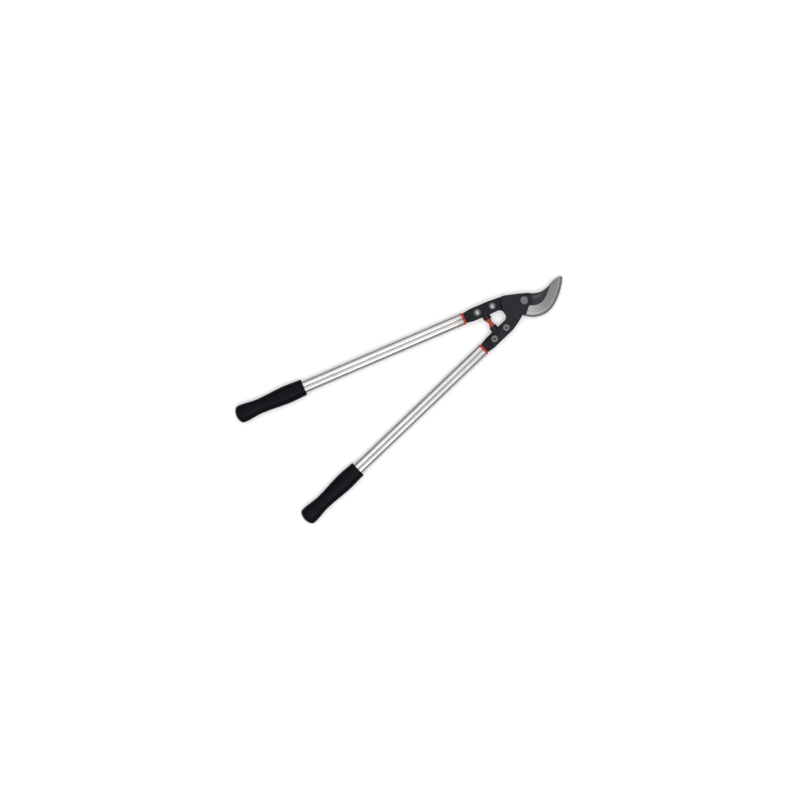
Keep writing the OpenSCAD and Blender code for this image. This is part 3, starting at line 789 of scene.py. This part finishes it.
def counter_blade_shell():
    throat = EDGE_C + (HOOK_INNER_R - THROAT_R) * heading(THROAT_DIR)
    left = np.vstack([
        [[9.8, 16.8, 6], [19.4, -0.4, 60], [33.2, -28.7, 30]],
        on_right(TANG_HALF_W - 0.6, 56, 20), on_right(TANG_HALF_W, 75, 60),
        tang_and_round(-130.5), [[-24.9, -20, 1.5]],
    ]) * (-1, 1, 1)
    line = rounded(
        arc(EDGE_C, HOOK_OUTER_R, HOOK_ROOT, EDGE_JOIN),
        arc(TIP_EDGE_C, TIP_EDGE_R + LIP_W, EDGE_JOIN, HOOK_TIP, 0.5)[1:],
        arc(HOOK_TIP_C, HOOK_TIP_R, HOOK_TIP_INNER, EDGE_JOIN, 0.4),
        arc(EDGE_C, HOOK_INNER_R, EDGE_JOIN, THROAT_DIR)[1:],
        arc(throat, THROAT_R, THROAT_DIR - 12, THROAT_DIR - 100, 11),
        [[5.5, 17, 6]],
        left,
    )
    line = softened(spaced(line, 1.2), 2.6)
    return plate(
        [line, circle((0, 0), BUSH_D / 2, 72), *bolt_holes(-1)],
        level(-LAYER), counter_back, 0.3, 1.0,
        creases=[lambda x, y: np.hypot(x, y) - RUBBED_R], low_creases=[relief_depth],
    )


def counter_finish(centres, tags):
    x, y, z = centres.T
    over = -inward(x, y)
    hook = (over < LIP_W + 2) & (over > -HOOK_W + LIP_W - 2) & (polar(x, y, EDGE_C)[1] > HOOK_ROOT) & (x > 0)
    return np.where((tags == TOP) & hook, 1, np.where((tags == TOP) & (np.hypot(x, y) < RUBBED_R), 2, 0))


# ---- Sockets -------------------------------------------------------------------------------


def into_rebate(x, y):
    u, s = handle_place(x, y)
    lap = np.maximum(REBATE_START + 0.3 - s, np.minimum(u + REBATE_IN + 0.2, TANG_END + 0.3 - s))
    return np.minimum(lap, np.hypot(x - BOSS_CUT_C[0], y - BOSS_CUT_C[1]) - BOSS_CUT_R + 0.2)


def socket_top(x, y):
    return LAYER + (SOCKET_HALF_T - LAYER) * np.clip(-into_rebate(x, y) / 0.12, 0, 1)


def socket_shell():
    gap_r = HUB_R + SOCKET_GAP
    inner = on_right(-SOCKET_HALF_W, math.sqrt(gap_r**2 - (HANDLE_OFFSET - SOCKET_HALF_W) ** 2))
    lo, hi = 44.0, 72.0
    for _ in range(40):
        s = (lo + hi) / 2
        outer = on_right(SOCKET_HALF_W - 3.9 * (72 - s) / 28, s)
        lo, hi = (s, hi) if np.hypot(*outer[:2]) < gap_r else (lo, s)
    neck = [on_right(w * u, s, r) for u, s, r, w in (
        (1, 72, 60, SOCKET_HALF_W), (1, TAPER_START, 20, SOCKET_HALF_W), (1, SOCKET_END, 0, NECK_HALF_W),
        (-1, SOCKET_END, 0, NECK_HALF_W), (-1, TAPER_START, 20, SOCKET_HALF_W))]
    line = rounded(neck, arc((0, 0), gap_r, bearing(inner), bearing(outer)))
    line = softened(spaced(line, 1.2), 2.6)
    body = plate(
        [line, *bolt_holes(1)], socket_top, level(-SOCKET_HALF_T),
        lambda x, y: np.where(socket_top(x, y) > 5, 1.9, 0.3), 1.9,
        creases=[into_rebate, lambda x, y: into_rebate(x, y) + 0.12],
    )
    rings = [section(barrels(SPIGOT_R - ease), s) for s, ease in ((-1.5, 0), (SPIGOT_L - 1, 0), (SPIGOT_L, 0.8))]
    return joined(body, placed(loft(rings), along_handle(SOCKET_END)))


# ---- Turned pieces -------------------------------------------------------------------------


def bolt_finish(centres, tags):
    x, y, z = centres.T
    u, s = handle_place(x, y)
    off = np.minimum(np.hypot(u, s - BOLT_START), np.hypot(u, s - BOLT_START - BOLT_PITCH))
    # Index 1, the hex socket in each bolt head, takes the darker zinc: painted shade in the recess.
    return np.where((off < 3.6) & (z > LAYER + HUB_T + 1), 1, 0)


def disc(r, z0, z1, n=96):
    return lathe([(0, z0), (r, z0), (r, z1), (0, z1)], n)


def pivot_bolt_shell(n=96):
    r, h, recess = PIVOT_HEAD_D / 2, PIVOT_HEAD_H, 4.0
    head = lathe(turned(
        (0, 0, 0), (r, 0, 0.3), (r, h - 1.5, 0.6), (r - 1.3, h, 0.5), (recess + 0.5, h, 0.35),
        (recess - 0.35, h - 0.85, 0.3), (1.3, h - 0.8, 0), (0, h - 1.3, 0)), n)
    shank = lathe(turned(
        (0, -LAYER - SHEAR_Z + 1 - HUB_T, 0), (PIVOT_D / 2 - 1, -LAYER - SHEAR_Z + 1 - HUB_T, 0.2),
        (PIVOT_D / 2, -LAYER - SHEAR_Z + 2 - HUB_T, 0), (PIVOT_D / 2, 0.2, 0), (0, 0.2, 0)), 48)
    neck = lathe([(0, -HUB_T), (np.minimum(6, 5 / np.maximum(abs(np.cos(np.radians(np.arange(n) * 360 / n))), 0.1)), -HUB_T),
                  (np.minimum(6, 5 / np.maximum(abs(np.cos(np.radians(np.arange(n) * 360 / n))), 0.1)), 0.2), (0, 0.2)], n)
    return placed(joined(head, shank, neck), move(0, 0, LAYER + HUB_T))


def ring_shell(inner, outer, z0, z1, ease):
    return lathe(turned(
        (inner, (z0 + z1) / 2, 0), (inner, z0, ease), (outer, z0, ease), (outer, z1, ease), (inner, z1, ease),
        (inner, (z0 + z1) / 2 + 0.01, 0)), closed=True)


def pivot_nut_shell(n=96):
    h, f = SHEAR_Z + NUT_TOP, NUT_FLATS / 2
    hexed = hexagon(f, n)
    bore = PIVOT_D / 2 + FIT
    return lathe([
        (bore, 0.7), (bore + 0.6, 0.05), (bore + 0.8, 0), (f - 0.5, 0), (f - 0.1, 0.04), (hexed - 0.06, (hexed - f) / 2),
        (hexed, (hexed - f) / 2 + 0.12), (hexed, h - 0.2), (hexed - 0.2, h), (bore + 0.5, h), (bore, h - 0.5)], n, closed=True)


def bolt_shell(n=96):
    r, h = BOLT_HEAD_D / 2, BOLT_HEAD_H
    key = hexagon(3.0, n)
    length = HUB_T + SOCKET_HALF_T + 3
    head = [*turned((0, -length, 0), (BOLT_D / 2 - 0.8, -length, 0.1), (BOLT_D / 2, -length + 0.8, 0.1),
                    (BOLT_D / 2, 0, 0), (r, 0, 0.25), (r, h, 1.7), (4.6, h, 0), step=12),
            (4.3, h - 0.02), (key * 0.35 + 2.6, h - 0.12), (key + 0.12, h - 0.35), (key, h - 0.6), (key, h - 2.4),
            (key * 0.8, h - 2.6), (0, h - 2.75)]
    return lathe(head, n)


def cap_nut_shell(n=96):
    skirt = 1.4
    rise = CAP_H - skirt
    dome_r = ((BOLT_HEAD_D / 2) ** 2 + rise**2) / (2 * rise)
    edge = math.degrees(math.asin(BOLT_HEAD_D / 2 / dome_r))
    bore = BOLT_D / 2 + FIT
    dome = [(dome_r * math.sin(math.radians(a)), CAP_H - dome_r + dome_r * math.cos(math.radians(a)))
            for a in np.linspace(edge - 3, 0, 14)]
    rim = turned((bore, 3.3, 0), (bore, 0, 0.3), (BOLT_HEAD_D / 2, 0, 0.3), (BOLT_HEAD_D / 2, skirt, 0.5), dome[0] + (0,))
    return lathe([(0, 3.3), *rim[:-1], *dome], n)


def cup_shell():
    depth, r, wall, bore = CUP_SEAT - CUP_RIM, CUP_D / 2, 1.6, 2.7
    return lathe(turned(
        (bore, 1.5, 0), (bore, 0, 0.3), (r, 0, 1.0), (r, depth, 0.75), (r - wall, depth, 0.5), (r - wall, 3, 0.4),
        (bore, 3, 0.3), (bore, 1.51, 0)), closed=True)


def buffer_shell():
    depth, r, nose, tip = CUP_SEAT - CUP_RIM, CUP_D / 2 - 1.6, CUP_SEAT - BUFFER_GAP / 2, 3.6
    return lathe(turned(
        (0, 6.2, 0), (5, 6.2, 0.3), (5, 3, 0.3), (r, 3, 0.3), (r, depth - 0.4, 0.3), (r - 0.4, depth + 1.6, 1.5),
        (tip + 1.6, nose - 2.6, 2.0), (tip + 0.8, nose, 2.0), (0, nose, 0), step=10))


def screw_shell(n=72):
    key = hexagon(1.5, n)
    return lathe([*turned((0, -7, 0), (1.8, -7, 0.1), (2.45, -6.3, 0.1), (2.45, 3, 0), (4.5, 3, 0.2), (4.5, 6, 1.0), (2.4, 6, 0)),
                  (key + 0.1, 5.95), (key, 5.7), (key, 4.3), (0, 4.2)], n)


# ---- Collars, tubes and grips --------------------------------------------------------------


def collar_shell():
    flange = TUBE_START - SOCKET_END
    narrow = (NECK_HALF_W + 0.2) / (BARREL_X + BARREL_R)
    rows = [(SPIGOT_R + FIT, 0.2, 1), (BARREL_R - 1.2, 0.0, narrow), (BARREL_R - 0.5, 0.12, narrow), (BARREL_R - 0.05, 0.6, narrow)]
    rows += [(BARREL_R, s, narrow + (1 - narrow) * smooth((s - 0.5) / (flange - 2.2))) for s in np.linspace(1, flange - 1.2, 6)]
    rows += [(BARREL_R, flange - 0.35, 1), (BARREL_R - 0.12, flange - 0.1, 1), (BARREL_R - 0.4, flange, 1), (SLEEVE_R, flange, 1),
             (SLEEVE_R, SPIGOT_L - 0.4, 1), (SLEEVE_R - 0.4, SPIGOT_L, 1), (SPIGOT_R + FIT, SPIGOT_L, 1)]
    return loft([section(barrels(r, scale=k), s) for r, s, k in rows], closed=True)


def tube_shell():
    length, inner = TUBE_END - TUBE_START, BARREL_R - TUBE_WALL
    rows = [(inner + 0.25, 0), (BARREL_R - 0.25, 0), (BARREL_R - 0.07, 0.08), (BARREL_R, 0.3)]
    rows += [(BARREL_R, s) for s in np.linspace(0, length, 28)[1:-1]]
    rows += [(BARREL_R, length - 0.3), (BARREL_R - 0.25, length), (inner + 0.25, length), (inner, length - 0.25), (inner, 0.25)]
    return loft([section(barrels(r), s) for r, s in rows], closed=True)


GRIP_STATIONS = [(GRIP_START, 19.2, 13.4), (570, 20.7, 15), (641, 17.2, 12.9), (682, 20.5, 15), (GRIP_END + 8, 18, 14)]


def grip_half(s, k):
    at = [g[0] for g in GRIP_STATIONS]
    i = min(max(np.searchsorted(at, s) - 1, 0), len(at) - 2)
    t = (s - at[i]) / (at[i + 1] - at[i])
    half = GRIP_STATIONS[i][k] + (GRIP_STATIONS[i + 1][k] - GRIP_STATIONS[i][k]) * (1 - math.cos(math.pi * t)) / 2
    return half - 0.12


def oval(w, h, n):
    """A slightly squared oval, with its points spread as on the tube's section."""
    a = 2 * np.pi * np.arange(n) / n
    c, s = np.cos(a), np.sin(a)
    return np.column_stack([w * np.sign(c) * abs(c) ** 0.9, h * np.sign(s) * abs(s) ** 0.9])


def grip_shell():
    n, end_round, lip = 128, 11.0, 1.6
    bore = barrels(BARREL_R + FIT, notch=0.7)
    turns = np.arctan2(bore[:, 1], bore[:, 0])
    order = np.argsort(turns % (2 * np.pi))
    bore, turns = bore[order], (turns[order]) % (2 * np.pi)
    at = 2 * np.pi * np.arange(n) / n
    bore = np.column_stack([np.interp(at, turns, bore[:, k], period=2 * np.pi) for k in (0, 1)])
    rings = [section(bore, TUBE_END + 0.1), section(bore, GRIP_START + 0.6), section(bore * 1.02, GRIP_START + 0.15),
             section(bore * 1.05, GRIP_START)]
    for k in np.linspace(0, 90, 7):
        a = math.radians(k)
        s = GRIP_START + lip * (1 - math.cos(a))
        inset = lip * (1 - math.sin(a))
        rings.append(section(oval(grip_half(s, 1) - inset, grip_half(s, 2) - inset, n), s))
    for s in np.linspace(GRIP_START + lip + 1, GRIP_END - end_round, 72):
        rings.append(section(oval(grip_half(s, 1), grip_half(s, 2), n), s))
    for k in np.linspace(6, 84, 14):
        a = math.radians(k)
        s = GRIP_END - end_round * (1 - math.sin(a))
        shrink = math.sqrt(1 - math.sin(a) ** 2.2)
        rings.append(section(oval(grip_half(s, 1) * shrink, grip_half(s, 2) * shrink, n), s))
    rings.append(section(oval(2.0, 1.5, n), GRIP_END))
    return loft(rings)


# ---- The pieces ----------------------------------------------------------------------------

mesh_piece("cutting_blade", cutting_blade_shell(), [forged, bevel_ground, flat_ground, forged_front_painted_highlight, honed], RAISED, "blade_half",
           blade_finish)
mesh_piece("counter_blade", counter_blade_shell(), [forged, hook_ground, flat_ground], RAISED, "counter_half",
           counter_finish)
mesh_piece("pivot_bolt", pivot_bolt_shell(), [screw_steel], RAISED, "blade_half")
mesh_piece("pivot_bush", ring_shell(PIVOT_D / 2 + PIVOT_CLEARANCE, BUSH_D / 2, -LAYER - HUB_T, -LAYER, 0.3), [bronze], RAISED,
           "counter_half")
mesh_piece("pivot_washer", ring_shell(PIVOT_D / 2 + 0.2, WASHER_D / 2, NUT_TOP, NUT_TOP + WASHER_T, 0.3), [zinc], RAISED,
           "blade_half")
mesh_piece("pivot_nut", pivot_nut_shell(), [zinc], Matrix.Identity(4), "blade_half")

for side, place in SIDES.items():
    body = BODY[side]
    socket = mesh_piece(side + "_socket", socket_shell(), [coated], place, body)
    pocket = placed(disc(CUP_D / 2 + 0.2, 0, 20), place @ ON_BUFFER)
    cut_away(socket, [pocket])
    bolts = joined(*(placed(bolt_shell(), at_bolt(i) @ move(0, 0, LAYER + HUB_T)) for i in (0, 1)))
    mesh_piece(side + "_bolts", bolts, [screw_steel, recess_painted_shade], place, body, bolt_finish)
    nuts = joined(*(placed(cap_nut_shell(), at_bolt(i) @ move(0, 0, -SOCKET_HALF_T) @ turn(180, "X")) for i in (0, 1)))
    mesh_piece(side + "_cap_nuts", nuts, [zinc], place, body)
    mesh_piece(side + "_collar", collar_shell(), [collar_orange], place @ along_handle(SOCKET_END), body)
    mesh_piece(side + "_tube", tube_shell(), [tubes[side]], place @ along_handle(TUBE_START), body)
    mesh_piece(side + "_grip", grip_shell(), [grip_black], place @ along_handle(0), body)
    mesh_piece(side + "_buffer_cup", cup_shell(), [cup_black], place @ ON_BUFFER, body)
    mesh_piece(side + "_buffer", buffer_shell(), [buffer_orange], place @ ON_BUFFER, body)
    mesh_piece(side + "_buffer_screw", screw_shell(), [zinc], place @ ON_BUFFER, body)

# ---- Floor, light and camera ---------------------------------------------------------------

scene = bpy.context.scene
scene.view_settings.view_transform = "Standard"

floor_mesh = bpy.data.meshes.new("floor")
floor_mesh.from_pydata([(-8, -8, 0), (8, -8, 0), (8, 8, 0), (-8, 8, 0)], [], [(0, 1, 2, 3)])
floor = bpy.data.objects.new("floor", floor_mesh)
scene.collection.objects.link(floor)
paper = Finish("floor_paper")
floor_mesh.materials.append(paper.use(
    Base_Color=paper.blend(paper.noise(3.0), rgb(0.86, 0.86, 0.86), rgb(0.88, 0.88, 0.88)), Roughness=0.9,
    Emission_Color=rgb(1, 1, 1), Emission_Strength=0.22))

world = bpy.data.worlds.new("studio")
scene.world = world
world.use_nodes = True
sky = world.node_tree
height = sky.nodes.new("ShaderNodeSeparateXYZ")
sky.links.new(sky.nodes.new("ShaderNodeTexCoord").outputs["Generated"], height.inputs[0])
ramp = sky.nodes.new("ShaderNodeValToRGB")
sky.links.new(height.outputs["Z"], ramp.inputs["Fac"])
stops = [(0.0, 0.62), (0.09, 0.50), (0.22, 0.19), (0.50, 0.19), (0.66, 0.28), (0.79, 0.95), (0.90, 1.20), (0.96, 1.15), (0.99, 0.88), (1.0, 0.82)]
for k, (at, value) in enumerate(stops):
    stop = ramp.color_ramp.elements[k] if k < 2 else ramp.color_ramp.elements.new(at)
    stop.position, stop.color = at, rgb(value, value, value)
sky.links.new(ramp.outputs[0], sky.nodes["Background"].inputs["Color"])
sky.nodes["Background"].inputs["Strength"].default_value = 1.45


def soft_light(name, place, aim, size, power):
    light = bpy.data.lights.new(name, "AREA")
    light.shape, light.size, light.energy = "DISK", size, power
    ob = bpy.data.objects.new(name, light)
    ob.location = place
    ob.rotation_euler = (Vector(aim) - Vector(place)).to_track_quat("-Z", "Y").to_euler()
    scene.collection.objects.link(ob)


soft_light("key", (0.95, -0.65, 2.7), (0, -0.3, 0), 1.1, 12)
soft_light("fill", (-1.5, 0.3, 2.6), (0, -0.3, 0), 1.6, 5)

lens = bpy.data.cameras.new("camera")
lens.lens, lens.sensor_width, lens.clip_end = 100, 36, 30
camera = bpy.data.objects.new("camera", lens)
camera.location = (0.0329, -0.356, SHEAR_Z * MM + 5.0)
camera.rotation_euler = (0, 0, math.radians(56.57))
scene.collection.objects.link(camera)
scene.camera = camera
